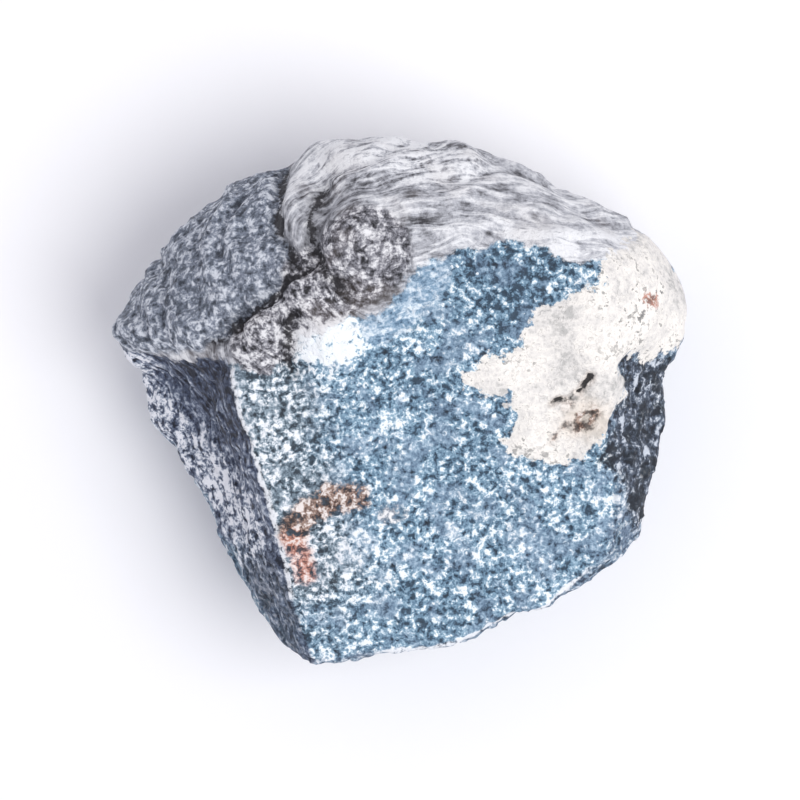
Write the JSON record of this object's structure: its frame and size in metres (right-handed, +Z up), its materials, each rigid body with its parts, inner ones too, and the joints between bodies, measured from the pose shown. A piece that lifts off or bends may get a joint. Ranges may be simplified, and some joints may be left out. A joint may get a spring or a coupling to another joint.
{
  "type": "rough angelite stone",
  "caption": "Rough broken piece of blue stone with a pale wrinkled rind, a white crust patch and a small flat underneath that it rests on.",
  "frame": {"origin": "under the middle of the stone's outline, on the surface it rests on", "axes": "+Z up, away from the resting flat; +X along the stone's length, towards the white patch; +Y towards the wrinkled rind"},
  "size_m": [0.0498, 0.0454, 0.0309],
  "materials": {
    "angelite": "matte"
  },
  "bodies": {
    "root": {"angelite_stone": "angelite"}
  },
  "joints": []
}
